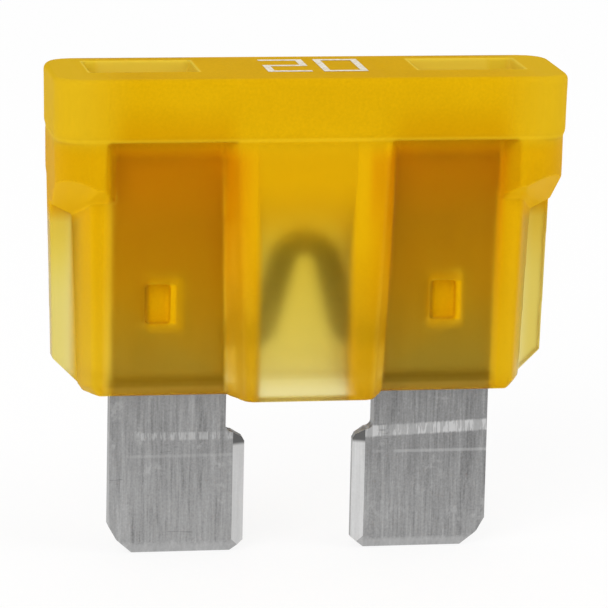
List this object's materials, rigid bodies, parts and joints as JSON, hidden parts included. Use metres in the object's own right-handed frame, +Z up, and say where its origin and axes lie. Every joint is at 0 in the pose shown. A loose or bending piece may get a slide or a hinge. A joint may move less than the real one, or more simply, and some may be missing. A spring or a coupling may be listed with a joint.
{
  "type": "automotive blade fuse",
  "caption": "Plug-in blade fuse with a translucent yellow moulded housing over a stamped element with flat blades and an arched fusible link.",
  "frame": {"origin": "midway between the blades, in the middle of their thickness, on the plane of the housing's underside", "axes": "+X along the housing's width, from blade to blade; +Y through its depth, towards the rear; +Z up, away from the blades' tips"},
  "size_m": [0.0192, 0.005, 0.0185],
  "materials": {
    "housing": "translucent amber-yellow moulded plastic, satin, with slightly blurred see-through walls",
    "fuse_element": "plain grey zinc alloy, finely brushed along the blades, with brighter coined bevels"
  },
  "bodies": {
    "root": {"housing": "housing", "fuse_element": "fuse_element"}
  },
  "joints": []
}
